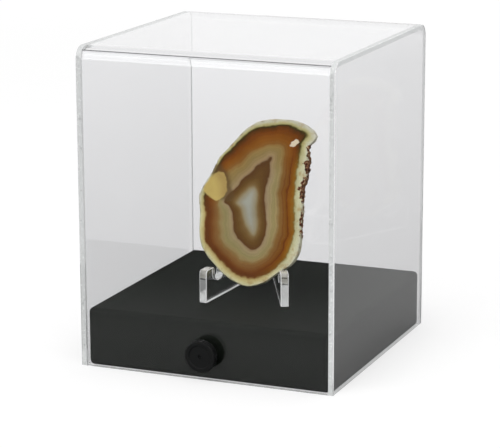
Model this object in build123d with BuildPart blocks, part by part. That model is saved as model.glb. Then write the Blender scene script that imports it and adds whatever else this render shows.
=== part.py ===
from build123d import *

import os
from math import cos, radians, sin, sqrt, tan

os.makedirs("parts", exist_ok=True)

# Clear display case with a black base, held together by one thumb screw. Millimetres, +Z up, +Y to
# the back. The origin is the centre of the underside, which stands on the table.

# Clear cover
case_width = 100.0
case_depth = 100.0
case_height = 120.0
cover_sheet_thickness = 2.0
cover_bend_radius = 5.0
polished_edge = 0.25

# Black base
base_gap = 0.2
base_height = 22.0
base_edge_radius = 1.8

# Thumb screw, its washer and the insert that it turns in
screw_height = 10.0
screw_radius = 2.0
screw_length = 12.0
screw_tip_chamfer = 0.5
running_clearance = 0.04
cover_hole_clearance = 0.3
washer_thickness = 0.8
washer_radius = 4.9
washer_clearance = 0.15
collar_radius = 4.0
collar_length = 0.8
knob_radius = 6.0
knob_thickness = 3.0
knob_edge_bevel = 0.4
flute_count = 24
flute_radius = 0.5
flute_depth = 0.25
dish_radius = 4.4
dish_depth = 0.3
dish_taper = 45.0
dimple_radius = 0.8
dimple_depth = 0.5
dimple_taper = 30.0
stud_in_knob = 2.4
insert_radius = 3.0
insert_length = 8.0
insert_flange_radius = 4.0
insert_flange_thickness = 0.6
drill_past_insert = 3.0

# Easel, one clear sheet bent into a V that opens to the front
easel_sheet_thickness = 3.0
easel_front_x = 4.4
easel_front_y = -22.7
easel_turn = 11.3
easel_front_spacing = 31.0
easel_half_angle = 14.8
easel_bend_radius = 3.0
lip_depth = 7.0
lip_height = 12.5
lip_corner_radius = 1.5
notch_floor_height = 6.9
notch_corner_radius = 2.9
foot_bar_height = 12.0
rest_height = 45.0
rest_width = 8.0
rest_top_radius = 3.0
rest_foot_radius = 12.0

# Agate slice
slice_lean = 12.0
slice_thickness = 4.5
slice_rim_bevel = 0.4
slice_clearance = 0.3

# Outline of the slice seen square on, clockwise from the top, with the easel's middle at x = 0
slice_outline = [
    (4.8, 62.8),
    (16.0, 62.6),
    (23.1, 58.7),
    (24.2, 56.9),
    (22.1, 55.2),
    (22.0, 45.6),
    (20.4, 38.2),
    (19.9, 30.8),
    (19.8, 20.3),
    (18.5, 11.4),
    (16.0, 8.1),
    (6.1, 1.8),
    (0.8, 0.0),
    (-2.4, 0.1),
    (-10.1, 4.2),
    (-16.3, 10.8),
    (-19.0, 18.6),
    (-19.1, 27.1),
    (-20.1, 33.4),
    (-16.8, 39.3),
    (-13.3, 45.8),
    (-2.5, 57.8),
]

# Sizes that follow from the ones above
inner_width = case_width - 2 * cover_sheet_thickness
base_width = case_width - 2 * (cover_sheet_thickness + base_gap)
base_depth = case_depth - 2 * (cover_sheet_thickness + base_gap)
screw_hole_radius = screw_radius + cover_hole_clearance

# The screw's plane is the outside of the front wall, with its normal to the front
screw_plane = Plane(origin=(0, -case_depth / 2, screw_height), x_dir=(1, 0, 0), z_dir=(0, -1, 0))
base_front_plane = screw_plane.offset(-(cover_sheet_thickness + base_gap))


# Cover sheet: front, top and back in one sheet with two bends, and the hole for the screw
with BuildPart() as cover_sheet:
    with BuildSketch(Plane.YZ):
        with BuildLine():
            FilletPolyline(
                (-case_depth / 2, 0),
                (-case_depth / 2, case_height),
                (case_depth / 2, case_height),
                (case_depth / 2, 0),
                radius=cover_bend_radius,
            )
            offset(amount=cover_sheet_thickness, side=Side.RIGHT)
        make_face()
    extrude(amount=inner_width / 2, both=True)
    with BuildSketch(screw_plane):
        Circle(screw_hole_radius)
    extrude(amount=-cover_sheet_thickness, mode=Mode.SUBTRACT)

cover_sheet.part.label = "cover_sheet"
export_step(cover_sheet.part, "parts/cover_sheet.step")


# Side panels: flat plates glued to the ends of the bent sheet, their upper corners rounded to match
with BuildPart() as right_panel:
    with BuildSketch(Plane.YZ.offset(inner_width / 2)):
        with Locations((0, case_height / 2)):
            Rectangle(case_depth, case_height)
        fillet(vertices().group_by(Axis.Y)[-1], radius=cover_bend_radius)
    extrude(amount=cover_sheet_thickness)
    fillet(right_panel.faces().sort_by(Axis.X)[-1].edges(), radius=polished_edge)

with BuildPart() as left_panel:
    mirror(right_panel.part, about=Plane.YZ)

for panel, name in ((right_panel, "right_panel"), (left_panel, "left_panel")):
    panel.part.label = name
    export_step(panel.part, f"parts/{name}.step")


# Base: a block that fills the foot of the cover, with a stepped blind hole for the insert
with BuildPart() as base_block:
    with BuildSketch(Plane.XY):
        Rectangle(base_width, base_depth)
    extrude(amount=base_height)
    fillet(base_block.edges(), radius=base_edge_radius)
    with BuildSketch(base_front_plane):
        Circle(insert_flange_radius)
    extrude(amount=-insert_flange_thickness, mode=Mode.SUBTRACT)
    with BuildSketch(base_front_plane):
        Circle(insert_radius)
    extrude(amount=-insert_length, mode=Mode.SUBTRACT)
    with BuildSketch(base_front_plane):
        Circle(screw_hole_radius)
    extrude(amount=-(insert_length + drill_past_insert), mode=Mode.SUBTRACT)

base_block.part.label = "base_block"
export_step(base_block.part, "parts/base_block.step")


# Insert: a flanged brass bush with the screw's bore
with BuildPart() as threaded_insert:
    with BuildSketch(base_front_plane):
        Circle(insert_flange_radius)
    extrude(amount=-insert_flange_thickness)
    with BuildSketch(base_front_plane):
        Circle(insert_radius)
    extrude(amount=-insert_length)
    with BuildSketch(base_front_plane):
        Circle(screw_radius + running_clearance)
    extrude(amount=-insert_length, mode=Mode.SUBTRACT)

threaded_insert.part.label = "threaded_insert"
export_step(threaded_insert.part, "parts/threaded_insert.step")


# Washer: lies flat on the front wall, under the knob's collar
with BuildPart() as nylon_washer:
    with BuildSketch(screw_plane):
        Circle(washer_radius)
        Circle(screw_radius + washer_clearance, mode=Mode.SUBTRACT)
    extrude(amount=washer_thickness)

nylon_washer.part.label = "nylon_washer"
export_step(nylon_washer.part, "parts/nylon_washer.step")


# Knob: a fluted disc with a dished face, on a narrower collar
collar_plane = screw_plane.offset(washer_thickness)
disc_plane = collar_plane.offset(collar_length)
knob_face_plane = disc_plane.offset(knob_thickness)

with BuildPart() as knob_head:
    with BuildSketch(collar_plane):
        Circle(collar_radius)
    extrude(amount=collar_length)
    with BuildSketch(disc_plane):
        Circle(knob_radius)
    extrude(amount=knob_thickness)
    knob_rims = knob_head.edges().filter_by(GeomType.CIRCLE).group_by(SortBy.RADIUS)[-1]
    chamfer(knob_rims, length=knob_edge_bevel)
    with BuildSketch(disc_plane):
        with PolarLocations(knob_radius + flute_radius - flute_depth, flute_count):
            Circle(flute_radius)
    extrude(amount=knob_thickness, mode=Mode.SUBTRACT)
    with BuildSketch(knob_face_plane):
        Circle(dish_radius)
    extrude(amount=-dish_depth, taper=dish_taper, mode=Mode.SUBTRACT)
    with BuildSketch(knob_face_plane.offset(-dish_depth)):
        Circle(dimple_radius)
    extrude(amount=-dimple_depth, taper=dimple_taper, mode=Mode.SUBTRACT)
    with BuildSketch(collar_plane):
        Circle(screw_radius)
    extrude(amount=stud_in_knob, mode=Mode.SUBTRACT)

knob_head.part.label = "knob_head"
export_step(knob_head.part, "parts/knob_head.step")


# Screw: a metal stud moulded into the knob
with BuildPart() as screw_shank:
    with BuildSketch(collar_plane.offset(stud_in_knob)):
        Circle(screw_radius)
    extrude(amount=-(stud_in_knob + screw_length))
    chamfer(screw_shank.edges().sort_by(Axis.Y)[-1], length=screw_tip_chamfer)

screw_shank.part.label = "screw_shank"
export_step(screw_shank.part, "parts/screw_shank.step")


# Easel: seen from above, its two legs run straight back from their front ends and meet in a bend.
# In its own plane x is to its right and y runs back from the front ends.
turn_cos = cos(radians(easel_turn))
turn_sin = sin(radians(easel_turn))
leg_cos = cos(radians(easel_half_angle))
leg_sin = sin(radians(easel_half_angle))
lean_cos = cos(radians(slice_lean))
lean_sin = sin(radians(slice_lean))
lean_tan = tan(radians(slice_lean))

easel_plane = Plane(
    origin=(easel_front_x, easel_front_y, base_height),
    x_dir=(turn_cos, turn_sin, 0),
    z_dir=(0, 0, 1),
)
half_spacing = easel_front_spacing / 2
half_sheet = easel_sheet_thickness / 2
bend_middle_radius = easel_bend_radius + half_sheet
bend_outer_radius = easel_bend_radius + easel_sheet_thickness
bend_centre_y = (half_spacing * leg_cos - bend_middle_radius) / leg_sin
leg_length = half_spacing * leg_sin + bend_centre_y * leg_cos

mirror_plane = Plane(origin=easel_plane.origin, z_dir=easel_plane.x_dir)
leg_plane = Plane(
    origin=easel_plane.from_local_coords((half_spacing, 0, 0)),
    x_dir=easel_plane.y_dir * leg_cos - easel_plane.x_dir * leg_sin,
    z_dir=easel_plane.x_dir * leg_cos + easel_plane.y_dir * leg_sin,
)

# The slice stands in the notches with its front face just behind the lips. Its rounded outline
# touches down where the legs pass under it, on the curve at the back of each notch.
slice_front_y = lip_depth * leg_cos + half_sheet * leg_sin + slice_clearance
seat_x = half_spacing - (slice_front_y + slice_thickness / 2) * leg_sin / leg_cos
seat_width = easel_sheet_thickness / leg_cos
back_gap = slice_clearance / lean_cos
curve_rise = notch_corner_radius - sqrt(notch_corner_radius**2 - (notch_corner_radius - back_gap) ** 2)

with BuildSketch() as seat_strips:
    with Locations((-seat_x, 0), (seat_x, 0)):
        Rectangle(seat_width, case_height)
    with BuildLine():
        Spline(*slice_outline, periodic=True)
    make_face(mode=Mode.INTERSECT)

seat_in_outline = seat_strips.sketch.bounding_box().min.Y
back_corner_height = notch_floor_height + curve_rise + slice_clearance
slice_bottom_height = back_corner_height + slice_thickness * lean_sin - seat_in_outline * lean_cos


def rest_at(height):
    """Where the front edge of a rest is at a height, measured along its leg."""
    slice_back_y = slice_front_y + slice_thickness / lean_cos + (height - slice_bottom_height) * lean_tan
    return (slice_back_y + back_gap + half_sheet * leg_sin) / leg_cos


with BuildPart() as display_easel:
    with BuildSketch(leg_plane):
        with BuildLine():
            FilletPolyline(
                (0, 0),
                (leg_length, 0),
                (leg_length, foot_bar_height),
                (rest_at(foot_bar_height) + rest_width, foot_bar_height),
                (rest_at(rest_height) + rest_width, rest_height),
                (rest_at(rest_height), rest_height),
                (rest_at(notch_floor_height), notch_floor_height),
                (lip_depth, notch_floor_height),
                (lip_depth, lip_height),
                (0, lip_height),
                radius=[
                    0,
                    0,
                    0,
                    rest_foot_radius,
                    rest_top_radius,
                    rest_top_radius,
                    notch_corner_radius,
                    notch_corner_radius,
                    lip_corner_radius,
                    lip_corner_radius,
                ],
                close=True,
            )
        make_face()
    extrude(amount=half_sheet, both=True)
    mirror(about=mirror_plane)
    with BuildSketch(easel_plane):
        with BuildLine():
            bend_middle = (0, bend_centre_y)
            bend_angle = 180 - 2 * easel_half_angle
            inside = CenterArc(bend_middle, easel_bend_radius, easel_half_angle, bend_angle)
            outside = CenterArc(bend_middle, bend_outer_radius, easel_half_angle, bend_angle)
            Line(inside @ 0, outside @ 0)
            Line(inside @ 1, outside @ 1)
        make_face()
    extrude(amount=foot_bar_height)

display_easel.part.label = "display_easel"
export_step(display_easel.part, "parts/display_easel.step")


# Agate slice: a sawn slice with its natural outline, leaning back on the easel
slice_plane = Plane(
    origin=easel_plane.from_local_coords((0, slice_front_y, slice_bottom_height)),
    x_dir=easel_plane.x_dir,
    z_dir=easel_plane.z_dir * lean_sin - easel_plane.y_dir * lean_cos,
)

with BuildPart() as agate_slice:
    with BuildSketch(slice_plane):
        with BuildLine():
            Spline(*slice_outline, periodic=True)
        make_face()
    extrude(amount=-slice_thickness)
    chamfer(agate_slice.faces().filter_by(slice_plane).edges(), length=slice_rim_bevel)

agate_slice.part.label = "agate_slice"
export_step(agate_slice.part, "parts/agate_slice.step")
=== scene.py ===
from math import cos, pi, radians, sin

import bmesh
import bpy
import numpy as np
from mathutils import Matrix, Vector, noise
from mathutils.geometry import delaunay_2d_cdt


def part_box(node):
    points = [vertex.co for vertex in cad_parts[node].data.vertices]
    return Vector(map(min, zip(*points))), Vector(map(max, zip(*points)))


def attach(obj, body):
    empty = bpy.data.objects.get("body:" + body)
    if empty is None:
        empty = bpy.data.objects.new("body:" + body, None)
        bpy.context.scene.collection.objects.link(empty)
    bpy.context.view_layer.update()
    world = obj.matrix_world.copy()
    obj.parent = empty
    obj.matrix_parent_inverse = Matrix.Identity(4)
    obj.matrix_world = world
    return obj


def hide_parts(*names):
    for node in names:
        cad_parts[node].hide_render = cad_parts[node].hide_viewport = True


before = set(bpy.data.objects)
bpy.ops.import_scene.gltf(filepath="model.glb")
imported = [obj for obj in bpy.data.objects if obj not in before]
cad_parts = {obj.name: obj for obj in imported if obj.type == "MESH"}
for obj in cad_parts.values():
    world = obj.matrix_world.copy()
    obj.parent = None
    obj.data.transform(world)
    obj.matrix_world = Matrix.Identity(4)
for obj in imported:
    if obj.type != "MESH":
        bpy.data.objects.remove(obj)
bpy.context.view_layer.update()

# Looks for the clear display case: polished acrylic, a painted base, a threaded screw, a bent easel
# and a banded agate slice. Lengths are metres, and MM turns millimetres into them.
MM = 0.001

# Cover
CASE_WIDTH = 100 * MM
CASE_DEPTH = 100 * MM
CASE_HEIGHT = 120 * MM
SHEET = 2 * MM
BEND_RADIUS = 5 * MM
BEND_STEPS = 12
PANEL_ARRIS = 0.25 * MM
PANEL_ARRIS_ANGLES = (0, 30, 60, 90)
CUT_EDGE_ARRIS = 0.15 * MM
# A painted grey line on each bend, in place of the light that runs on inside the sheet: how far round the
# bend it lies, its half width before and after it fades, and how far below the top it may be
BEND_LINE_ANGLE = radians(45.5)
BEND_LINE_CORE = 0.15 * MM
BEND_LINE_REACH = 0.33 * MM
BEND_LINE_DEPTH = 1.6 * MM
# The screw's hole lies within these
HOLE_HALF_WIDTH = 3 * MM
HOLE_TOP = 15 * MM

# Easel
EASEL_ARRIS = 0.25 * MM
# Keeps its underside from lying in the same plane as the base's top
EASEL_CLEARANCE = 0.03 * MM
EASEL_TURN = radians(11.3)
EASEL_HALF_ANGLE = radians(14.8)
# Its bend lies behind this
EASEL_BEND_START = 20 * MM
# The painted dark lines across its posts, in place of refraction: their heights in the middle, their slope
# to the right, and their half width before and after they fade
POST_LINE = 31 * MM
UPPER_POST_LINE = 33.4 * MM
POST_LINE_SLOPE = 0.02
POST_LINE_CORE = 0.1 * MM
POST_LINE_REACH = 0.45 * MM

# Screw thread
THREAD_PITCH = 0.7 * MM
THREAD_DEPTH = 0.4 * MM
THREAD_LENGTH = 11.6 * MM
THREAD_RUN_OUT = 0.8 * MM
TIP_TAPER = 0.5 * MM
# A groove's half width as a share of the pitch, and the share of the thread's depth that it is cut to
GROOVE_HALF_WIDTH = 0.4
GROOVE_FLOOR = 0.85
STUD_SIDES = 32
ROWS_A_PITCH = 7

# Agate slice: the lowest point of its front face and its lean. What follows is in millimetres.
SLICE_ORIGIN = Vector((2.94, -15.393, 27.28)) * MM
SLICE_LEAN = radians(12)
SLICE_THICKNESS = 4.5
SLICE_ARRIS = 0.35
# The rim's mean depth behind the outline, and its waves
RIM_DEPTH = 0.15
FINE_WAVES = 0.12
COARSE_WAVES = 0.15
# How finely it is drawn: points round the rim, neighbours on each side that smooth the way inward, and rows
# down the wall
RIM_POINTS = 420
SMOOTHING = 6
WALL_ROWS = 9
# The grid of the sawn faces: its reach across and up, the distance between its points, and how much closer
# its rows are, so that the triangles are even
GRID_ACROSS = (-22, 26)
GRID_UP = (0, 64)
SPACING = 0.6
ROW_SHARE = 0.866
# Points on the smooth line round a band and round a spot
EDGE_POINTS = 200
SPOT_POINTS = 60
# How many bands there are, the half width of the innermost, and the pace of the thin bands within each
BAND_COUNT = 5.0
MIDDLE_HALF_WIDTH = 2.6
THIN_BAND_PACE = 34.0
# Its outline on the front face, clockwise from the top
SLICE_OUTLINE = [
    (4.6, 62.7),
    (15.8, 62.6),
    (19.6, 61.3),
    (22.8, 58.9),
    (24.0, 56.8),
    (23.2, 54.9),
    (22.0, 53.6),
    (22.1, 46.0),
    (20.5, 38.2),
    (20.0, 30.8),
    (19.9, 20.4),
    (18.7, 12.4),
    (16.0, 8.1),
    (12.0, 5.5),
    (6.6, 1.5),
    (0.8, -0.4),
    (-2.6, 0.0),
    (-10.1, 4.2),
    (-16.0, 10.4),
    (-18.4, 14.0),
    (-19.5, 20.0),
    (-19.6, 27.4),
    (-20.1, 32.8),
    (-18.6, 37.2),
    (-15.6, 42.0),
    (-12.4, 48.6),
    (-8.8, 52.4),
    (-4.6, 57.3),
    (1.0, 61.6),
]
# Where the pale rind ends
RIND_EDGE = [
    (1.2, 59.2),
    (7.6, 60.2),
    (14.0, 60.6),
    (17.8, 59.0),
    (20.4, 57.4),
    (18.8, 55.2),
    (17.9, 50.0),
    (17.2, 44.0),
    (16.2, 36.0),
    (16.6, 30.0),
    (16.7, 24.5),
    (16.2, 18.4),
    (14.4, 12.0),
    (10.4, 7.2),
    (6.2, 4.4),
    (0.8, 2.7),
    (-4.4, 4.2),
    (-8.6, 7.4),
    (-13.4, 12.0),
    (-16.4, 16.0),
    (-17.1, 20.5),
    (-17.0, 27.5),
    (-18.0, 32.2),
    (-16.4, 37.6),
    (-14.0, 42.8),
    (-11.7, 47.5),
    (-8.3, 51.0),
    (-4.3, 55.2),
]
# Where the orange and brown bands end
BROWN_EDGE = [
    (8.9, 53.7),
    (12.2, 53.4),
    (12.6, 49.8),
    (12.0, 44.6),
    (10.8, 36.0),
    (10.9, 28.0),
    (11.0, 20.4),
    (9.6, 14.8),
    (5.5, 9.8),
    (0.7, 7.4),
    (-2.8, 8.0),
    (-9.1, 12.9),
    (-11.9, 16.6),
    (-12.7, 23.3),
    (-12.9, 30.0),
    (-11.6, 37.0),
    (-9.8, 42.2),
    (-6.8, 45.0),
    (-0.9, 50.1),
    (4.6, 53.2),
]
# Where the beige band ends, round the wedge-shaped middle
BEIGE_EDGE = [
    (7.4, 48.8),
    (7.2, 45.9),
    (5.9, 39.1),
    (5.1, 32.0),
    (5.9, 27.0),
    (6.0, 20.0),
    (4.6, 15.6),
    (2.4, 14.0),
    (0.3, 14.1),
    (-1.9, 15.5),
    (-6.3, 20.4),
    (-6.6, 27.0),
    (-8.2, 29.6),
    (-10.2, 31.2),
    (-8.4, 34.0),
    (-6.0, 36.2),
    (-3.6, 39.9),
    (0.4, 43.8),
    (4.2, 47.0),
]
# Where the brown line round the middle ends
MIDDLE_EDGE = [
    (1.4, 37.6),
    (2.4, 36.4),
    (2.4, 32.0),
    (2.8, 26.0),
    (2.7, 21.0),
    (1.6, 18.8),
    (0.1, 20.0),
    (-1.8, 22.4),
    (-2.9, 25.0),
    (-4.0, 29.0),
    (-5.8, 31.0),
    (-4.0, 33.6),
    (-2.0, 35.9),
]
# The orange nodule on the left with the dark bands it breaks, and the quartz spot on the right
NODULE_EDGE = [
    (-14.6, 41.4),
    (-13.2, 42.3),
    (-10.7, 42.2),
    (-10.0, 40.0),
    (-9.3, 36.4),
    (-10.4, 33.0),
    (-13.2, 31.7),
    (-16.0, 33.0),
    (-18.4, 35.2),
    (-17.2, 38.2),
]
NODULE_SHADE_EDGE = [
    (-14.4, 45.4),
    (-11.5, 44.6),
    (-8.6, 41.2),
    (-7.6, 37.0),
    (-6.6, 33.6),
    (-8.6, 31.2),
    (-12.0, 32.6),
    (-13.0, 38.0),
    (-15.6, 42.2),
]
QUARTZ_EDGE = [
    (14.3, 53.6),
    (14.6, 52.7),
    (15.6, 52.7),
    (17.3, 54.6),
    (16.7, 55.6),
]

# Camera, fitted to the straight edges of the case in the photograph
CAMERA_AZIMUTH = radians(22.585)
CAMERA_ELEVATION = radians(13.719)
CAMERA_ROLL = radians(-0.183)
CAMERA_DISTANCE = 831.2 * MM
CAMERA_TARGET = Vector((-1.2, -3.675, 48.013)) * MM
FOCAL_LENGTH_PIXELS = 2195.15
PHOTO_WIDTH_PIXELS = 500
SENSOR_WIDTH = 36.0

# Studio: the lamps' names, places and sizes in metres, and powers in watts
LAMPS = (
    ("key", (-0.8, -1.5, 0.9), 1.8, 24),
    ("fill", (1.2, -0.7, 0.9), 1.5, 7.5),
    ("back", (0.5, 1.4, 1.0), 1.5, 6.5),
)
# How bright the white room is as light on the object, where 1 is its full white
SOFT_LIGHT_LEVEL = 0.6
FLOOR_HALF_WIDTH = 6.0
# Keeps the floor from lying in the same plane as the object's underside
FLOOR_CLEARANCE = 0.1 * MM
# How pale the floor that the sheets mirror is in itself: well in front of the case, close to it, and how
# much more it is from the front wall on
DISTANT_GREY = 0.07
NEAR_GREY = 0.32
ADDED_GREY = 0.12
# How white the floor close to the case shows through the acrylic: below full white, as painted shade
NEAR_WHITE = 0.66


# Node trees
def linear(red, green, blue):
    """A colour given as it looks on screen, 0 to 255, as the shader wants it."""
    levels = (((c / 255 + 0.055) / 1.055) ** 2.4 if c > 10 else c / 3295 for c in (red, green, blue))
    return tuple(levels) + (1.0,)


class Tree:
    """A node tree, with short calls for the nodes that this scene uses."""

    def __init__(self, owner, output):
        owner.use_nodes = True
        self.tree = owner.node_tree
        self.tree.nodes.clear()
        self.output = self.tree.nodes.new(output)

    def plug(self, socket, value):
        if isinstance(value, bpy.types.NodeSocket):
            self.tree.links.new(value, socket)
        else:
            socket.default_value = value

    def node(self, kind, **inputs):
        made = self.tree.nodes.new("ShaderNode" + kind)
        for name, value in inputs.items():
            self.plug(made.inputs[name.replace("_", " ")], value)
        return made

    def coords(self):
        return self.node("TexCoord").outputs["Object"]

    def place(self):
        """A point's X, Y and Z, by name."""
        return self.node("SeparateXYZ", Vector=self.coords()).outputs

    def grey(self, level):
        """A grey of this level."""
        return self.node("CombineColor", Red=level, Green=level, Blue=level).outputs[0]

    def math(self, operation, first, second=0.0, third=0.0):
        made = self.node("Math")
        made.operation = operation
        for socket, value in zip(made.inputs, (first, second, third)):
            self.plug(socket, value)
        return made.outputs[0]

    def between(self, value, low, high):
        """A value from 0 to 1 spread between low and high."""
        return self.math("MULTIPLY_ADD", value, high - low, low)

    def mix(self, share, first, second):
        """A colour between two colours."""
        made = self.node("Mix")
        made.data_type = "RGBA"
        for socket, value in zip((made.inputs[0], made.inputs[6], made.inputs[7]), (share, first, second)):
            self.plug(socket, value)
        return made.outputs[2]

    def multiply(self, first, second):
        """Two colours multiplied."""
        made = self.node("Mix")
        made.data_type = "RGBA"
        made.blend_type = "MULTIPLY"
        for socket, value in zip((made.inputs[0], made.inputs[6], made.inputs[7]), (1.0, first, second)):
            self.plug(socket, value)
        return made.outputs[2]

    def ramp(self, value, stops):
        """Colours along a value, from (place, colour) stops."""
        made = self.node("ValToRGB", Fac=value)
        elements = made.color_ramp.elements
        while len(elements) < len(stops):
            elements.new(0.5)
        for element, (place, colour) in zip(elements, stops):
            element.position = place
            element.color = colour
        return made.outputs["Color"]

    def grain(self, size, detail=3.0, roughness=0.5, coords=None):
        """Noise from 0 to 1 whose grains are about size across."""
        made = self.node("TexNoise", Vector=coords or self.coords(), Scale=1 / size)
        made.inputs["Detail"].default_value = detail
        made.inputs["Roughness"].default_value = roughness
        return made.outputs[0]

    def bump(self, height, distance):
        return self.node("Bump", Height=height, Distance=distance).outputs["Normal"]

    def soft_light(self, path):
        """1 for the rays of lamps and soft light, from a Light Path node."""
        return self.math("MAXIMUM", path.outputs["Is Shadow Ray"], path.outputs["Is Diffuse Ray"])

    def attribute(self, name):
        made = self.node("Attribute")
        made.attribute_name = name
        return made.outputs["Fac"]

    def step(self, value, low, high):
        """0 below low, 1 above high, smooth between."""
        made = self.node("MapRange", Value=value)
        made.interpolation_type = "SMOOTHSTEP"
        self.plug(made.inputs["From Min"], low)
        self.plug(made.inputs["From Max"], high)
        return made.outputs["Result"]

    def mix_shader(self, share, first, second):
        made = self.node("MixShader", Fac=share)
        self.plug(made.inputs[1], first.outputs[0])
        self.plug(made.inputs[2], second.outputs[0])
        return made

    def finish(self, shader):
        self.tree.links.new(shader.outputs[0], self.output.inputs["Surface"])


def new_material(name):
    material = bpy.data.materials.new(name)
    return material, Tree(material, "ShaderNodeOutputMaterial")


# Materials

# Reflections after which a ray counts as trapped within a sheet
TRAPPED_DEPTH = 2.5
ACRYLIC_IOR = 1.49
# Specular level of the cut edges, which are duller than the sheet's faces
CUT_GLOSS = 0.05


def let_light_through(tree, glass):
    """Glass that soft light and lamps pass straight, so that they reach what stands inside. Rays that have
    been thrown about within a sheet leave it too, as they would in the end."""
    path = tree.node("LightPath")
    trapped = tree.math("GREATER_THAN", path.outputs["Glossy Depth"], TRAPPED_DEPTH)
    passing = tree.node("BsdfTransparent", Color=(0.98, 0.98, 0.98, 1))
    leaving = tree.node("BsdfTransparent", Color=(0.86, 0.86, 0.865, 1))
    return tree.mix_shader(tree.soft_light(path), tree.mix_shader(trapped, glass, leaving), passing)


def painted_bend_line(tree):
    """1 along the middle of each bend, where light runs on inside the sheet: there a thin grey line is
    painted.
    """
    place = tree.place()
    middle = CASE_DEPTH / 2 - BEND_RADIUS * (1 - sin(BEND_LINE_ANGLE))
    away = tree.math("ABSOLUTE", tree.math("SUBTRACT", tree.math("ABSOLUTE", place["Y"]), middle))
    line = tree.step(away, BEND_LINE_REACH, BEND_LINE_CORE)
    near_top = tree.math("GREATER_THAN", place["Z"], CASE_HEIGHT - BEND_LINE_DEPTH)
    return tree.math("MULTIPLY", line, near_top)


def painted_bend_shade(tree):
    """1 along the bends, which are painted a little darker than the flat sheet: painted shade."""
    place = tree.place()
    out = tree.math("ABSOLUTE", place["Y"])
    start = CASE_DEPTH / 2 - BEND_RADIUS
    above = tree.step(place["Z"], CASE_HEIGHT - BEND_RADIUS, CASE_HEIGHT - 0.7 * BEND_RADIUS)
    return tree.math("MULTIPLY", above, tree.step(out, start, start + 0.2 * BEND_RADIUS))


def clear_acrylic(name, bent=False):
    """Polished clear sheet, flat or with the cover's bends, on which shade and a grey line are painted."""
    material, tree = new_material(name)
    cloud = tree.grain(25 * MM, detail=2.0)
    colour = tree.mix(cloud, (0.958, 0.958, 0.965, 1), (0.972, 0.972, 0.979, 1))
    if bent:
        # Painted shade along the bends, and a painted grey line along the middle of each
        colour = tree.mix(painted_bend_shade(tree), colour, (0.85, 0.85, 0.86, 1))
        colour = tree.mix(painted_bend_line(tree), colour, (0.06, 0.06, 0.065, 1))
    glass = tree.node(
        "BsdfPrincipled",
        Base_Color=colour,
        Roughness=tree.between(tree.grain(3 * MM), 0.0, 0.012),
        IOR=ACRYLIC_IOR,
        Transmission_Weight=1.0,
        Normal=tree.bump(cloud, 0.02 * MM),
    )
    tree.finish(let_light_through(tree, glass))
    return material


def with_painted_post_shade(tree, pale):
    """The colour of the easel's posts, with painted shade: painted warmer and darker above, and thin painted
    dark lines across them where the light inside turns back, one on the left and two on the right."""
    place = tree.place()
    height = tree.math("MULTIPLY_ADD", place["X"], POST_LINE_SLOPE, place["Z"])

    def line(middle):
        away = tree.math("ABSOLUTE", tree.math("SUBTRACT", height, middle))
        return tree.step(away, POST_LINE_REACH, POST_LINE_CORE)

    on_right = tree.math("GREATER_THAN", place["X"], 0.0)
    upper = tree.math("MULTIPLY", line(UPPER_POST_LINE), on_right)
    lines = tree.math("MAXIMUM", line(POST_LINE), upper)
    # Painted shade: warmer and darker above the lower line, in place of the slice seen through the post
    above = tree.step(height, POST_LINE, POST_LINE + 0.6 * MM)
    pale = tree.mix(tree.math("MULTIPLY", above, 0.6), pale, linear(184, 178, 160))
    return tree.mix(tree.math("MULTIPLY", lines, 0.85), pale, linear(52, 52, 48))


def acrylic_cut(name, clearness, smooth, rough, posts=False):
    """The cut edge of a sheet, flame polished: it gathers light and shows pale from every side. Its roughness
    runs from smooth to rough."""
    material, tree = new_material(name)
    streaks = tree.grain(0.8 * MM, detail=4.0)
    bubbles = tree.step(tree.grain(2.5 * MM), 0.58, 0.7)
    pale = tree.mix(streaks, linear(204, 206, 206), linear(228, 230, 229))
    # On the easel's posts, shade and dark lines in place of refraction are painted on
    if posts:
        pale = with_painted_post_shade(tree, pale)
    glass = tree.node(
        "BsdfPrincipled",
        Base_Color=tree.mix(tree.math("MULTIPLY", bubbles, 0.5), pale, linear(160, 162, 162)),
        Roughness=tree.between(streaks, smooth, rough),
        IOR=ACRYLIC_IOR,
        Specular_IOR_Level=CUT_GLOSS,
        Transmission_Weight=clearness,
        Normal=tree.bump(streaks, 0.04 * MM * rough),
    )
    tree.finish(let_light_through(tree, glass))
    return material


def acrylic_arris():
    """The narrow scraped arris along a cut edge, which scatters light and draws the edge as a bright line."""
    material, tree = new_material("acrylic_arris")
    scrape = tree.grain(0.6 * MM, detail=4.0)
    glass = tree.node(
        "BsdfPrincipled",
        Base_Color=tree.mix(scrape, linear(244, 245, 245), linear(254, 255, 255)),
        Roughness=tree.between(scrape, 0.3, 0.6),
        IOR=ACRYLIC_IOR,
        Specular_IOR_Level=CUT_GLOSS,
        Transmission_Weight=0.05,
        Normal=tree.bump(scrape, 0.03 * MM),
    )
    tree.finish(let_light_through(tree, glass))
    return material


def cement_joint():
    """Where two sheets are cemented: mostly clear, with a pale haze. Soft light and lamps pass straight."""
    material, tree = new_material("cement_joint")
    specks = tree.grain(1.5 * MM)
    clear = tree.node("BsdfTransparent", Color=(0.99, 0.99, 0.99, 1))
    haze = tree.node(
        "BsdfPrincipled",
        Base_Color=tree.mix(specks, linear(236, 238, 238), linear(248, 250, 250)),
        Roughness=0.6,
        Specular_IOR_Level=0.0,
    )
    seen = tree.math("SUBTRACT", 1.0, tree.soft_light(tree.node("LightPath")))
    share = tree.math("MULTIPLY", tree.between(specks, 0.6, 0.8), seen)
    tree.finish(tree.mix_shader(share, clear, haze))
    return material


def black_paint():
    """Matte black paint sprayed on fibreboard."""
    material, tree = new_material("black_paint")
    spray = tree.grain(0.5 * MM, detail=4.0)
    cloud = tree.grain(22 * MM)
    tree.finish(
        tree.node(
            "BsdfPrincipled",
            Base_Color=tree.mix(cloud, linear(14, 18, 14), linear(20, 24, 19)),
            Roughness=tree.between(spray, 0.65, 0.8),
            Specular_IOR_Level=0.03,
            Normal=tree.bump(spray, 0.002 * MM),
        )
    )
    return material


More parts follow.
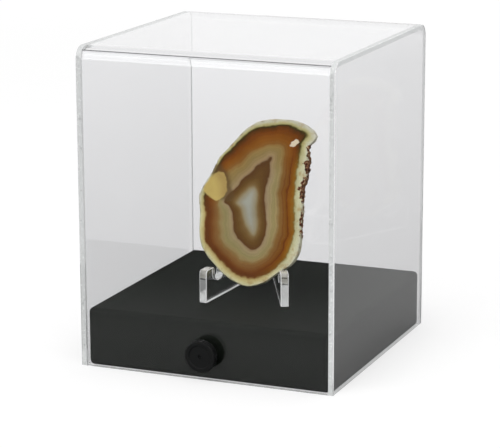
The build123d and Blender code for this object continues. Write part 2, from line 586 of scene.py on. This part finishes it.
def black_moulding():
    """Black plastic of the knob, lightly spark eroded."""
    material, tree = new_material("black_moulding")
    texture = tree.grain(0.15 * MM, detail=2.0)
    tree.finish(
        tree.node(
            "BsdfPrincipled",
            Base_Color=tree.mix(tree.grain(4 * MM), linear(7, 8, 8), linear(12, 13, 13)),
            Roughness=tree.between(texture, 0.45, 0.6),
            Specular_IOR_Level=0.15,
            Normal=tree.bump(texture, 0.005 * MM),
        )
    )
    return material


def black_nylon():
    material, tree = new_material("black_nylon")
    texture = tree.grain(0.3 * MM)
    tree.finish(
        tree.node(
            "BsdfPrincipled",
            Base_Color=tree.mix(texture, linear(22, 22, 22), linear(32, 32, 32)),
            Roughness=tree.between(texture, 0.4, 0.6),
            Normal=tree.bump(texture, 0.01 * MM),
        )
    )
    return material


def metal(name, dark, pale, rough, smooth):
    """Turned metal, with marks round its axis, which lies along Y."""
    material, tree = new_material(name)
    marks = tree.node("TexWave", Vector=tree.coords(), Scale=1 / (1.2 * MM), Distortion=1.5)
    marks.bands_direction = "Y"
    stain = tree.grain(1.5 * MM)
    tree.finish(
        tree.node(
            "BsdfPrincipled",
            Base_Color=tree.mix(stain, dark, pale),
            Metallic=1.0,
            Roughness=tree.between(stain, smooth, rough),
            Normal=tree.bump(marks.outputs["Fac"], 0.005 * MM),
        )
    )
    return material


# Colours along the bands, from the rim at 0 to the middle at 1. The outer bands differ round the slice.
RIGHT_BANDS = [
    (0.0, linear(222, 221, 198)),
    (0.1, linear(226, 224, 184)),
    (0.15, linear(214, 211, 168)),
    (0.178, linear(196, 186, 134)),
    (0.194, linear(140, 122, 66)),
    (0.21, linear(152, 106, 30)),
    (0.24, linear(150, 94, 12)),
    (0.272, linear(140, 80, 4)),
    (0.286, linear(108, 52, 0)),
    (0.3, linear(128, 74, 8)),
    (0.335, linear(142, 92, 30)),
    (0.35, linear(124, 74, 24)),
    (0.365, linear(142, 98, 44)),
    (0.4, linear(144, 104, 50)),
    (0.425, linear(156, 128, 78)),
    (0.46, linear(172, 153, 104)),
    (0.485, linear(160, 146, 94)),
    (0.52, linear(174, 156, 108)),
    (0.58, linear(172, 150, 116)),
]
UPPER_BANDS = [
    (0.0, linear(234, 231, 212)),
    (0.06, linear(219, 216, 188)),
    (0.12, linear(208, 202, 150)),
    (0.155, linear(192, 182, 124)),
    (0.178, linear(150, 140, 82)),
    (0.192, linear(78, 70, 26)),
    (0.21, linear(66, 48, 4)),
    (0.235, linear(100, 54, 0)),
    (0.27, linear(126, 66, 0)),
    (0.32, linear(142, 82, 8)),
    (0.36, linear(146, 90, 24)),
    (0.4, linear(146, 100, 42)),
    (0.42, linear(156, 120, 64)),
    (0.45, linear(160, 132, 76)),
    (0.5, linear(154, 130, 78)),
    (0.54, linear(162, 138, 90)),
    (0.58, linear(172, 146, 104)),
]
LOWER_BANDS = [
    (0.0, linear(222, 222, 188)),
    (0.06, linear(226, 219, 168)),
    (0.12, linear(214, 200, 138)),
    (0.16, linear(196, 172, 110)),
    (0.183, linear(160, 126, 72)),
    (0.2, linear(112, 66, 22)),
    (0.23, linear(106, 56, 10)),
    (0.28, linear(116, 62, 14)),
    (0.32, linear(130, 78, 30)),
    (0.37, linear(140, 96, 46)),
    (0.415, linear(146, 106, 56)),
    (0.44, linear(154, 126, 76)),
    (0.47, linear(164, 144, 96)),
    (0.5, linear(156, 144, 94)),
    (0.58, linear(172, 152, 112)),
]
MIDDLE_BANDS = [
    (0.596, linear(158, 130, 94)),
    (0.607, linear(98, 64, 30)),
    (0.63, linear(100, 66, 26)),
    (0.7, linear(110, 78, 32)),
    (0.75, linear(124, 94, 48)),
    (0.79, linear(138, 112, 70)),
    (0.82, linear(154, 136, 98)),
    (0.87, linear(164, 153, 124)),
    (1.0, linear(175, 175, 160)),
]
CRYSTAL_COLOURS = [
    (0.38, linear(44, 20, 10)),
    (0.5, linear(96, 52, 30)),
    (0.58, linear(140, 100, 70)),
    (0.66, linear(206, 184, 150)),
]


def agate():
    """Bands that follow the band attribute of the slice's mesh, with spots where its other attributes say."""
    material, tree = new_material("agate")
    coords = tree.coords()
    band = tree.attribute("band")
    wander = tree.between(tree.grain(6 * MM, detail=3.0, coords=coords), -0.25, 0.25)
    ripple = tree.between(tree.grain(1.6 * MM, detail=4.0, coords=coords), -0.2, 0.2)
    ripple = tree.math("MULTIPLY", ripple, tree.between(tree.step(band, 1.4, 0.9), 0.25, 1.0))
    band = tree.math("ADD", tree.math("ADD", band, wander), ripple)
    place = tree.math("DIVIDE", band, BAND_COUNT)
    outer_bands = (RIGHT_BANDS, UPPER_BANDS, LOWER_BANDS)
    right, upper, lower = (tree.ramp(place, bands + MIDDLE_BANDS) for bands in outer_bands)
    colour = tree.mix(tree.attribute("lower"), right, lower)
    colour = tree.mix(tree.attribute("upper"), colour, upper)
    thin_bands = tree.math("SINE", tree.math("MULTIPLY", band, THIN_BAND_PACE))
    strength = tree.between(tree.grain(4 * MM, coords=coords), -0.03, 0.09)
    shade = tree.math("MULTIPLY_ADD", thin_bands, strength, 0.83)
    cloud = tree.grain(9 * MM, detail=4.0, coords=coords)
    shade = tree.math("MULTIPLY", shade, tree.between(cloud, 0.8, 1.2))
    colour = tree.multiply(colour, tree.grey(shade))
    stained = tree.step(tree.grain(2.5 * MM, detail=5.0, coords=coords), 0.52, 0.72)
    stain = tree.math("MULTIPLY", stained, tree.step(band, 0.95, 0.6))
    colour = tree.mix(tree.math("MULTIPLY", stain, 0.6), colour, linear(170, 138, 84))

    def spot(name, wobble, blur):
        """1 within a spot, whose edge wobbles and blurs by these many millimetres."""
        ragged = tree.between(tree.grain(1.5 * MM, detail=5.0, coords=coords), -wobble, wobble)
        return tree.step(tree.math("ADD", tree.attribute(name), ragged), -blur, blur)

    mottle = tree.grain(3 * MM, detail=4.0, coords=coords)
    nodule = tree.mix(mottle, linear(208, 186, 110), linear(184, 158, 90))
    far_side = tree.step(tree.attribute("nodule_shade"), -1.5, 3.4)
    nodule = tree.mix(tree.math("MULTIPLY", far_side, 0.65), nodule, linear(156, 126, 76))
    nodule_shade = tree.math("MULTIPLY", spot("nodule_shade", 0.8, 1.0), 0.75)
    colour = tree.mix(nodule_shade, colour, linear(94, 70, 38))
    colour = tree.mix(spot("nodule", 0.8, 0.3), colour, nodule)
    colour = tree.mix(spot("quartz", 1.2, 0.2), colour, linear(226, 212, 184))
    crystal = tree.ramp(tree.grain(0.8 * MM, detail=4.0, coords=coords), CRYSTAL_COLOURS)
    colour = tree.mix(spot("crust", 2.4, 0.15), colour, crystal)
    rough = tree.attribute("rough")
    pitted = tree.step(tree.grain(1.8 * MM, detail=5.0, coords=coords), 0.5, 0.68)
    pits = tree.math("MULTIPLY", rough, pitted)
    colour = tree.mix(tree.math("MULTIPLY", pits, 0.6), colour, linear(122, 100, 66))
    saw_marks = tree.grain(0.6 * MM, detail=5.0, coords=coords)
    tree.finish(
        tree.node(
            "BsdfPrincipled",
            Base_Color=colour,
            Roughness=tree.math("MULTIPLY_ADD", rough, 0.4, tree.between(saw_marks, 0.25, 0.4)),
            Specular_IOR_Level=0.06,
            Normal=tree.bump(saw_marks, tree.math("MULTIPLY_ADD", rough, 0.3 * MM, 0.005 * MM)),
        )
    )
    return material


CLEAR = clear_acrylic("clear_acrylic")
CLEAR_BENT = clear_acrylic("clear_acrylic_bent", bent=True)
PANEL_CUT = acrylic_cut("panel_cut", 0.15, 0.15, 0.35)
EASEL_CUT = acrylic_cut("easel_cut", 0.6, 0.01, 0.06, posts=True)
ARRIS = acrylic_arris()
JOINT = cement_joint()
BRASS = metal("brass", (0.5, 0.33, 0.12, 1), (0.62, 0.43, 0.18, 1), 0.38, 0.25)
STEEL = metal("plated_steel", (0.42, 0.42, 0.43, 1), (0.56, 0.56, 0.57, 1), 0.35, 0.2)


# Pieces

# Where each material stands in a piece's list. The third is cement on the cover's sheets, and arris on the
# easel.
FACE = 0
CUT = 1
CEMENTED = 2
SCRAPED = 2
# Cosines of the angle between a face's normal and a direction: looking that way, exactly that way, and
# below which it looks aside
SQUARE = 0.9
EXACT = 0.98
ASIDE = 0.5
# Angles between faces above which an edge is a corner, and below which there is none
CORNER_ANGLE = radians(30)
FLAT_ANGLE = radians(0.5)
WELD = 0.002 * MM


def add_piece(name, bm, materials, body, replaced, smooth_angle=radians(25)):
    """Makes an object from a bmesh, on a body, in place of a CAD node."""
    mesh = bpy.data.meshes.new(name)
    bmesh.ops.recalc_face_normals(bm, faces=bm.faces)
    bm.to_mesh(mesh)
    bm.free()
    mesh.shade_smooth()
    mesh.set_sharp_from_angle(angle=smooth_angle)
    for material in materials:
        mesh.materials.append(material)
    piece = bpy.data.objects.new(name, mesh)
    bpy.context.scene.collection.objects.link(piece)
    flat_faces = piece.modifiers.new("flat_faces", "WEIGHTED_NORMAL")
    flat_faces.weight = 100
    flat_faces.keep_sharp = True
    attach(piece, body)
    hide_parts(replaced)
    return piece


def polished_copy(node, arris, is_polished, pick_material, arris_material):
    """A CAD node's own faces with an arris along each corner that is polished. pick_material is asked for
    each face."""
    bm = bmesh.new()
    bm.from_mesh(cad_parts[node].data)
    bmesh.ops.remove_doubles(bm, verts=bm.verts, dist=WELD)
    bmesh.ops.dissolve_limit(bm, angle_limit=FLAT_ANGLE, verts=bm.verts, edges=bm.edges)
    corners = [e for e in bm.edges if e.is_manifold and e.calc_face_angle() > CORNER_ANGLE]
    made = bmesh.ops.bevel(
        bm,
        geom=[e for e in corners if is_polished(e)],
        offset=arris,
        segments=2,
        profile=0.5,
        affect="EDGES",
        clamp_overlap=True,
    )
    rounded = set(made["faces"])
    for face in bm.faces:
        face.material_index = arris_material if face in rounded else pick_material(face)
    return bm


def panel(name, side):
    """A side panel. Its inner face is cemented to the bent sheet along the front, the top and the back."""
    half = CASE_DEPTH / 2
    inner_x = side * (CASE_WIDTH / 2 - SHEET)
    outer_x = side * CASE_WIDTH / 2

    def arch(inset):
        """Up the front, over and down the back, this far inside the outline."""
        reach = BEND_RADIUS - inset
        centre_height = CASE_HEIGHT - BEND_RADIUS
        points = [(-half + inset, 0.0)]
        for centre, start in ((-half + BEND_RADIUS, pi), (half - BEND_RADIUS, pi / 2)):
            for step in range(BEND_STEPS + 1):
                angle = start - step / BEND_STEPS * pi / 2
                points.append((centre + reach * cos(angle), centre_height + reach * sin(angle)))
        return points + [(half - inset, 0.0)]

    bm = bmesh.new()

    def ring(x, inset, lift):
        """Corners along the arch, with those at its feet lifted off the ground."""
        return [bm.verts.new((x, y, max(z, lift))) for y, z in arch(inset)]

    def strip(first, second, material, closed=True):
        """Faces between two rings, or between two arches where the strip isn't closed."""
        count = len(first)
        for i in range(count if closed else count - 1):
            j = (i + 1) % count
            face = bm.faces.new((first[i], first[j], second[j], second[i]))
            face.material_index = material

    rounding = []
    for angle in PANEL_ARRIS_ANGLES:
        inward = PANEL_ARRIS * (1 - sin(radians(angle)))
        inset = PANEL_ARRIS * (1 - cos(radians(angle)))
        rounding.append(ring(outer_x - side * inward, inset, inset))
    joined = ring(inner_x, 0, 0)
    free = ring(inner_x, SHEET, 0)
    strip(joined, rounding[0], CUT)
    for first, second in zip(rounding, rounding[1:]):
        strip(first, second, FACE)
    strip(joined, free, CEMENTED, closed=False)
    bm.faces.new(rounding[-1]).material_index = FACE
    bm.faces.new(free).material_index = FACE
    materials = (CLEAR, PANEL_CUT, JOINT)
    return add_piece(name, bm, materials, "cover", name.replace("clear_", ""))


def bent_sheet():
    """Front, top and back of the cover: its lower edges are polished, and its ends are cemented to the
    panels."""
    end = CASE_WIDTH / 2 - SHEET - 0.01 * MM

    def is_free(edge):
        """Whether the edge lies between the cemented ends, or along the ground."""
        first, second = (vert.co for vert in edge.verts)
        return max(abs(first.x), abs(second.x)) < end or abs(first.z + second.z) < MM

    def material(face):
        centre = face.calc_center_median()
        if abs(face.normal.x) > SQUARE and abs(centre.x) > end:
            return CEMENTED
        on_ground = face.normal.z < -SQUARE and centre.z < MM
        near_hole = abs(centre.x) < HOLE_HALF_WIDTH and centre.z < HOLE_TOP
        return CUT if on_ground or near_hole and abs(face.normal.y) < ASIDE else FACE

    bm = polished_copy("cover_sheet", CUT_EDGE_ARRIS, is_free, material, FACE)
    materials = (CLEAR_BENT, PANEL_CUT, JOINT)
    return add_piece("clear_sheet", bm, materials, "cover", "cover_sheet")


def easel():
    """The bent easel, its cut edges pale and polished."""
    leg_normals = []
    for side in (-1, 1):
        angle = EASEL_TURN + side * EASEL_HALF_ANGLE
        leg_normals.append(Vector((cos(angle), sin(angle), 0)))

    def material(face):
        flat = max(abs(face.normal.dot(normal)) for normal in leg_normals) > EXACT
        bend = face.calc_center_median().y > EASEL_BEND_START and abs(face.normal.z) < ASIDE
        if flat or bend:
            return FACE
        return SCRAPED if face.normal.z < -SQUARE else CUT

    bm = polished_copy("display_easel", EASEL_ARRIS, lambda edge: True, material, SCRAPED)
    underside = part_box("display_easel")[0].z
    for vert in bm.verts:
        vert.co.z = max(vert.co.z, underside + EASEL_CLEARANCE)
    return add_piece("clear_easel", bm, (CLEAR, EASEL_CUT, ARRIS), "easel", "display_easel")


def threaded_stud():
    """The screw's stud with its rolled thread, which runs out before the knob."""
    low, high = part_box("screw_shank")
    centre = (low + high) / 2
    radius = (high.x - low.x) / 2
    rows = int((high.y - low.y) / THREAD_PITCH * ROWS_A_PITCH)
    bm = bmesh.new()
    rings = []
    for row in range(rows + 1):
        y = high.y - (high.y - low.y) * row / rows
        from_tip = high.y - y
        run_out = min(1.0, max(0.0, (THREAD_LENGTH - from_tip) / THREAD_RUN_OUT))
        taper = TIP_TAPER * (1 - min(1.0, from_tip / THREAD_RUN_OUT))
        ring = []
        for step in range(STUD_SIDES):
            angle = 2 * pi * step / STUD_SIDES
            place = (from_tip / THREAD_PITCH + step / STUD_SIDES) % 1.0
            groove = max(0.0, 1 - abs(place - 0.5) / GROOVE_HALF_WIDTH)
            depth = THREAD_DEPTH * min(groove, GROOVE_FLOOR) * run_out
            reach = min(radius - depth, radius - taper)
            ring.append(bm.verts.new((centre.x + reach * cos(angle), y, centre.z + reach * sin(angle))))
        rings.append(ring)
    for first, second in zip(rings, rings[1:]):
        for i in range(STUD_SIDES):
            j = (i + 1) % STUD_SIDES
            bm.faces.new((first[i], first[j], second[j], second[i]))
    bm.faces.new(rings[0])
    bm.faces.new(rings[-1])
    return add_piece("threaded_stud", bm, (STEEL,), "thumb_screw", "screw_shank", radians(40))


# Agate slice
def smooth_loop(points, count, slack=0.62):
    """count points along a closed curve through the given ones. It is smooth at a slack of 1, and straight
    lines at 0."""
    points = np.array(points, float)
    total = len(points)
    step = np.linalg.norm(np.roll(points, -1, 0) - points, axis=1)
    matrix = np.zeros((total, total))
    right = np.zeros((total, 2))
    for i in range(total):
        before, after = step[i - 1], step[i]
        matrix[i, i - 1] += after
        matrix[i, i] += 2 * (before + after)
        matrix[i, (i + 1) % total] += before
        slope_before = (points[i] - points[i - 1]) / before
        slope_after = (points[(i + 1) % total] - points[i]) / after
        right[i] = 3 * (after * slope_before + before * slope_after)
    slopes = np.linalg.solve(matrix, right) * slack
    ends = np.concatenate(([0.0], np.cumsum(step)))
    made = []
    for place in np.linspace(0, ends[-1], count, endpoint=False):
        i = min(int(np.searchsorted(ends, place, side="right")) - 1, total - 1)
        t = (place - ends[i]) / step[i]
        following = (i + 1) % total
        made.append(
            points[i] * (1 + 2 * t) * (1 - t) ** 2
            + points[following] * t * t * (3 - 2 * t)
            + slopes[i] * step[i] * t * (1 - t) ** 2
            - slopes[following] * step[i] * t * t * (1 - t)
        )
    return np.array(made)


def distance_to(loop, points):
    """How far each point is from a closed line, and whether it is inside it."""
    start, end = loop, np.roll(loop, -1, 0)
    along = end - start
    offset = points[:, None, :] - start[None]
    share = np.clip((offset * along).sum(2) / (along * along).sum(1), 0, 1)
    distance = np.linalg.norm(offset - share[..., None] * along, axis=2).min(1)
    x, y = points[:, 0:1], points[:, 1:2]
    crosses = (start[:, 1] > y) != (end[:, 1] > y)
    rise = np.where(along[:, 1] == 0, 1e-12, along[:, 1])
    inside = (crosses & (x < start[:, 0] + (y - start[:, 1]) / rise * along[:, 0])).sum(1) % 2 == 1
    return distance, inside


def band_places(points):
    """How deep in the bands each point is: 0 at the rim, 1 where the rind ends, up to 5 in the middle."""
    edges = (SLICE_OUTLINE, RIND_EDGE, BROWN_EDGE, BEIGE_EDGE, MIDDLE_EDGE)
    measured = [distance_to(smooth_loop(edge, EDGE_POINTS), points) for edge in edges]
    place = np.zeros(len(points))
    for depth, (distance, inside) in enumerate(measured):
        if depth + 1 < len(measured):
            share = distance / (distance + measured[depth + 1][0] + 1e-9)
        else:
            share = np.clip(distance / MIDDLE_HALF_WIDTH, 0, 1)
        within = inside | (depth == 0)
        place = np.where(within, depth + share, place)
    return place


def depth_inside(loop, points):
    """How far inside a closed line each point is, in millimetres, and less than 0 outside it."""
    distance, inside = distance_to(smooth_loop(loop, SPOT_POINTS), points)
    return np.where(inside, distance, -distance)


# Widths of the crust at heights up the slice, in millimetres, and where its side of the slice begins
CRUST_SIDE = 10
CRUST_HEIGHTS = (18, 21, 26, 29, 32, 34, 38, 41, 42.5, 44, 47, 48.5, 50, 53, 54)
CRUST_WIDTHS = (0.0, 0.8, 0.9, 0.2, 0.3, 1.6, 2.4, 1.4, 0.4, 2.3, 2.6, 0.6, 1.2, 1.5, 0.0)


def crust_width(points):
    """How wide the rough brown crust along the right rim is, in millimetres."""
    width = np.interp(points[:, 1], CRUST_HEIGHTS, CRUST_WIDTHS)
    return np.where(points[:, 0] > CRUST_SIDE, width, 0)


def slice_axes():
    """The directions across the slice's face, up its slope and out of its front."""
    across = Vector((cos(EASEL_TURN), sin(EASEL_TURN), 0))
    back = Vector((-sin(EASEL_TURN), cos(EASEL_TURN), 0))
    up = Vector((0, 0, 1))
    slope = up * cos(SLICE_LEAN) + back * sin(SLICE_LEAN)
    front = up * sin(SLICE_LEAN) - back * cos(SLICE_LEAN)
    return across, slope, front


SLICE_ATTRIBUTES = ("band", "lower", "upper", "nodule", "nodule_shade", "quartz", "crust", "rough")


def banded_slice():
    """A sawn slice: two flat faces, a rough natural rim and crystals along its right side."""
    outline = smooth_loop(SLICE_OUTLINE, RIM_POINTS)
    along = np.roll(outline, -1, 0) - np.roll(outline, 1, 0)
    inward = np.stack((along[:, 1], -along[:, 0]), 1) / np.linalg.norm(along, axis=1)[:, None]
    shifts = range(-SMOOTHING, SMOOTHING + 1)
    inward = sum(np.roll(inward, shift, 0) for shift in shifts) / len(shifts)
    crust = crust_width(outline)
    across, slope, front = slice_axes()
    bm = bmesh.new()
    layers = {name: bm.verts.layers.float.new(name) for name in SLICE_ATTRIBUTES}
    plan = []

    def rim_depth(i, depth):
        """How far the rough rim stands back from the outline. The crust has bites as well as waves."""
        x, y = outline[i]
        fine = noise.noise(Vector((x, y, depth)) * 1.1)
        coarse = noise.noise(Vector((x, y, depth)) * 0.35 + Vector((7, 3, 5)))
        jagged = noise.noise(Vector((x, y, depth * 0.7)) * 0.9 + Vector((31, 11, 2)))
        bites = min(crust[i], 1.0) * max(0.0, 0.3 + 1.1 * jagged)
        return RIM_DEPTH + FINE_WAVES * fine + COARSE_WAVES * coarse + bites

    def vertex(point, depth, on_rim):
        """A corner at a point of the front face's plane, this deep in the slice."""
        plan.append((point[0], point[1], on_rim))
        position = SLICE_ORIGIN + (across * point[0] + slope * point[1] - front * depth) * MM
        return bm.verts.new(position)

    def wall_point(i, row):
        depth = SLICE_THICKNESS * row / WALL_ROWS
        edge = SLICE_ARRIS if row in (0, WALL_ROWS) else 0.0
        return outline[i] + inward[i] * (rim_depth(i, depth) + edge)

    def sawn_face(rim_points, rim_vertices, depth):
        """Triangles on a fine even grid inside the rim."""
        x, y = np.meshgrid(np.arange(*GRID_ACROSS, SPACING), np.arange(*GRID_UP, SPACING * ROW_SHARE))
        x = x + SPACING / 2 * (np.arange(len(x)) % 2)[:, None]
        grid = np.stack((x.ravel(), y.ravel()), 1)
        distance, inside = distance_to(rim_points, grid)
        grid = grid[inside & (distance > SPACING / 2)]
        vertices = rim_vertices + [vertex(point, depth, 0.0) for point in grid]
        flat = [Vector(point) for point in np.concatenate((rim_points, grid))]
        faces, sources = delaunay_2d_cdt(flat, [], [list(range(RIM_POINTS))], 1, 1e-6)[2:4]
        for face in faces:
            bm.faces.new([vertices[sources[corner][0]] for corner in face])

    walls = []
    for row in range(WALL_ROWS + 1):
        points = np.array([wall_point(i, row) for i in range(RIM_POINTS)])
        depth = SLICE_THICKNESS * row / WALL_ROWS
        walls.append([vertex(point, depth, 1.0) for point in points])
        if row in (0, WALL_ROWS):
            sawn_face(points, walls[-1], depth)
    for first, second in zip(walls, walls[1:]):
        for i in range(RIM_POINTS):
            j = (i + 1) % RIM_POINTS
            bm.faces.new((first[i], first[j], second[j], second[i]))

    plan = np.array(plan)
    points = plan[:, :2]
    rim_distance = distance_to(outline, points)[0]
    # lower and upper say how far the outer bands are those of the lower left and of the top
    values = {
        "band": band_places(points),
        "lower": np.clip(0.5 - (points[:, 0] * 0.9 + (points[:, 1] - 26) * 0.45) / 16, 0, 1),
        "upper": np.clip((points[:, 1] - 0.5 * points[:, 0] - 36) / 8, 0, 1),
        "nodule": depth_inside(NODULE_EDGE, points),
        "nodule_shade": depth_inside(NODULE_SHADE_EDGE, points),
        "quartz": depth_inside(QUARTZ_EDGE, points),
        "crust": np.where(crust_width(points) > 0.05, crust_width(points) - rim_distance, -3.0),
        "rough": plan[:, 2],
    }
    bm.verts.ensure_lookup_table()
    for name, layer in layers.items():
        for vert, value in zip(bm.verts, values[name]):
            vert[layer] = float(value)
    return add_piece("banded_slice", bm, (agate(),), "specimen", "agate_slice", radians(50))


panel("clear_right_panel", 1)
panel("clear_left_panel", -1)
bent_sheet()
easel()
threaded_stud()
banded_slice()

for node, material in (
    ("base_block", black_paint()),
    ("threaded_insert", BRASS),
    ("nylon_washer", black_nylon()),
    ("knob_head", black_moulding()),
):
    for material_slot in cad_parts[node].material_slots:
        material_slot.material = material


# Stage
def pale_floor():
    """Paper that shows white, with the object's shadow, where the camera or glass sees it; seen straight
    through the acrylic it carries painted shade near the case. What the sheets mirror of it stays grey near
    the case, and turns white far away."""
    material, tree = new_material("pale_floor")
    distance = tree.node("VectorMath", Vector=tree.coords())
    distance.operation = "LENGTH"
    distance = distance.outputs["Value"]
    far = tree.step(distance, 0.5, 1.2)
    along = tree.place()["Y"]
    grey = tree.between(tree.step(along, -200 * MM, -90 * MM), DISTANT_GREY, NEAR_GREY)
    grey = tree.math("ADD", grey, tree.between(tree.step(along, -75 * MM, -15 * MM), 0.0, ADDED_GREY))
    grey = tree.math("MULTIPLY", grey, tree.math("SUBTRACT", 1.0, far))
    grey = tree.math("MULTIPLY", grey, tree.between(tree.grain(2 * MM), 0.97, 1.03))
    paper = tree.node(
        "BsdfPrincipled",
        Base_Color=tree.grey(grey),
        Roughness=0.9,
        Specular_IOR_Level=0.0,
    )
    path = tree.node("LightPath")
    unmirrored = tree.math("LESS_THAN", path.outputs["Glossy Depth"], 0.5)
    straight = tree.math("MULTIPLY", path.outputs["Is Transmission Ray"], unmirrored)
    # Painted shade: the floor seen straight through the acrylic is dimmed near the case
    painted_near_shade = tree.between(tree.step(distance, 0.65, 0.0), 1.0, NEAR_WHITE)
    ways_seen = (
        path.outputs["Is Camera Ray"],
        tree.math("MULTIPLY", straight, painted_near_shade),
        tree.math("GREATER_THAN", path.outputs["Glossy Depth"], TRAPPED_DEPTH),
        tree.math("MULTIPLY", path.outputs["Is Glossy Ray"], far),
    )
    seen = ways_seen[0]
    for way in ways_seen[1:]:
        seen = tree.math("MAXIMUM", seen, way)
    lift = tree.math("SUBTRACT", 1.02, grey)
    glow = tree.node("Emission", Strength=tree.math("MULTIPLY", seen, lift))
    both = tree.node("AddShader")
    tree.plug(both.inputs[0], paper.outputs[0])
    tree.plug(both.inputs[1], glow.outputs[0])
    tree.finish(both)
    return material


def floor():
    bm = bmesh.new()
    bmesh.ops.create_grid(bm, x_segments=8, y_segments=8, size=FLOOR_HALF_WIDTH)
    mesh = bpy.data.meshes.new("floor")
    bm.to_mesh(mesh)
    bm.free()
    mesh.materials.append(pale_floor())
    made = bpy.data.objects.new("floor", mesh)
    made.location.z = -FLOOR_CLEARANCE
    bpy.context.scene.collection.objects.link(made)


def studio():
    """A white room: full white where it is seen, and a plain level of soft light on the object."""
    world = bpy.data.worlds.new("studio")
    bpy.context.scene.world = world
    tree = Tree(world, "ShaderNodeOutputWorld")
    path = tree.node("LightPath")
    seen = tree.math("MAXIMUM", path.outputs["Is Camera Ray"], path.outputs["Is Transmission Ray"])
    seen = tree.math("MAXIMUM", seen, path.outputs["Is Glossy Ray"])
    level = tree.between(seen, SOFT_LIGHT_LEVEL, 1.0)
    tree.finish(tree.node("Background", Color=(1, 1, 1, 1), Strength=level))


def lamp(name, place, size, power):
    """A soft square lamp that faces the object."""
    data = bpy.data.lights.new(name, "AREA")
    data.shape = "SQUARE"
    data.size = size
    data.energy = power
    made = bpy.data.objects.new(name, data)
    made.location = place
    toward = Vector((0, 0, CASE_HEIGHT / 2)) - Vector(place)
    made.rotation_mode = "QUATERNION"
    made.rotation_quaternion = toward.to_track_quat("-Z", "Y")
    bpy.context.scene.collection.objects.link(made)


def camera():
    """The photograph's camera. back is the way from what it looks at to the camera itself."""
    back = Vector(
        (
            sin(CAMERA_AZIMUTH) * cos(CAMERA_ELEVATION),
            -cos(CAMERA_AZIMUTH) * cos(CAMERA_ELEVATION),
            sin(CAMERA_ELEVATION),
        )
    )
    level = Vector((cos(CAMERA_AZIMUTH), sin(CAMERA_AZIMUTH), 0))
    upright = back.cross(level)
    right = level * cos(CAMERA_ROLL) + upright * sin(CAMERA_ROLL)
    up = upright * cos(CAMERA_ROLL) - level * sin(CAMERA_ROLL)
    data = bpy.data.cameras.new("camera")
    data.sensor_width = SENSOR_WIDTH
    data.lens = FOCAL_LENGTH_PIXELS / PHOTO_WIDTH_PIXELS * data.sensor_width
    data.clip_start = 0.01
    made = bpy.data.objects.new("camera", data)
    turn = Matrix((right, up, back)).transposed().to_4x4()
    made.matrix_world = Matrix.Translation(CAMERA_TARGET + back * CAMERA_DISTANCE) @ turn
    bpy.context.scene.collection.objects.link(made)
    bpy.context.scene.camera = made


floor()
studio()
for name, place, size, power in LAMPS:
    lamp(name, place, size, power)
camera()
bpy.context.scene.view_settings.view_transform = "Standard"
